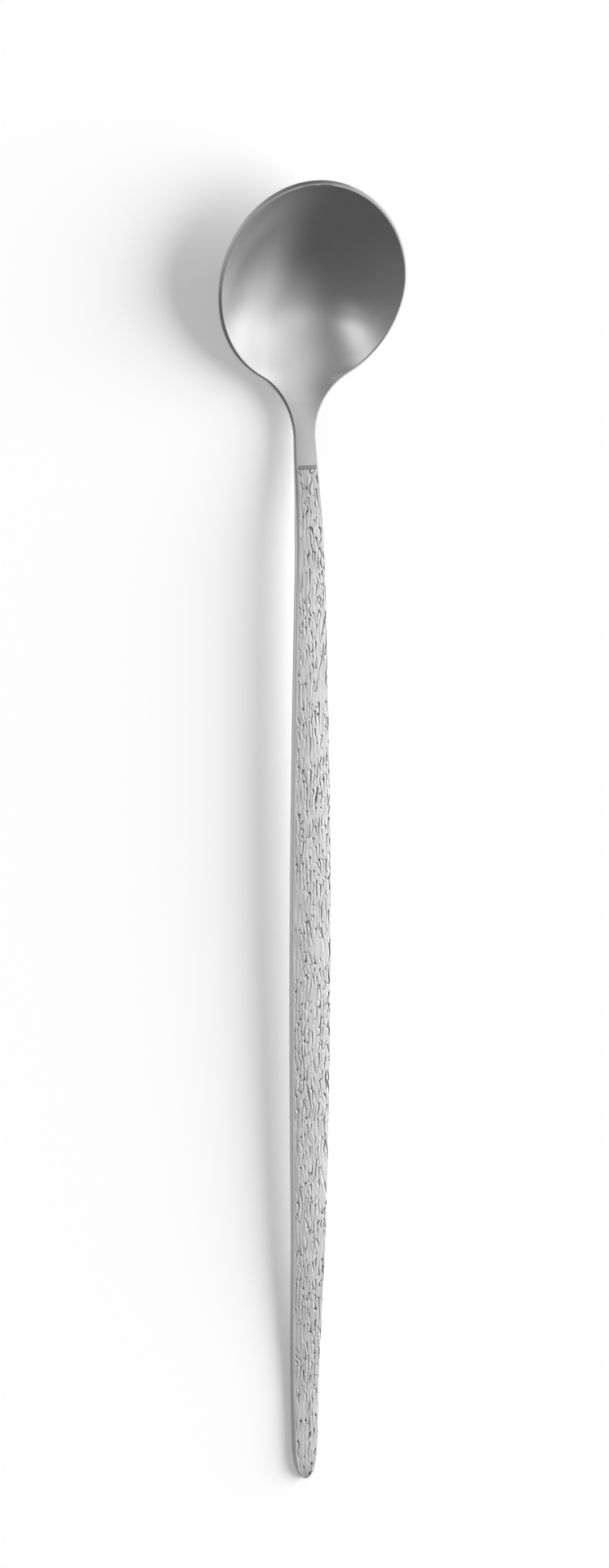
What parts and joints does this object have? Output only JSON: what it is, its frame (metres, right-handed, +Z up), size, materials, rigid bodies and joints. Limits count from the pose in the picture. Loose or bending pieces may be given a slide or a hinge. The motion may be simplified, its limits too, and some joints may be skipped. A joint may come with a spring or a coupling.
{
  "type": "long drink spoon",
  "caption": "Slim long-handled steel spoon with a round shallow bowl, smooth narrow neck and bark-textured handle scales brazed to a core bar.",
  "frame": {"origin": "middle of the spoon's length and width, on the table that its bowl and its handle tip rest on", "axes": "+Y along the spoon from the handle tip to the bowl tip, +Z up out of the open bowl, +X across to the right with the bowl away from you"},
  "size_m": [0.0334, 0.22, 0.0108],
  "materials": {
    "satin_steel": "satin",
    "bark_steel": "satin, relief cast with a bark texture",
    "braze": "dull filler metal"
  },
  "bodies": {
    "root": {"bowl_neck_core": "satin_steel", "front_scale": "bark_steel", "back_scale": "bark_steel", "front_braze": "braze", "back_braze": "braze"}
  },
  "joints": []
}
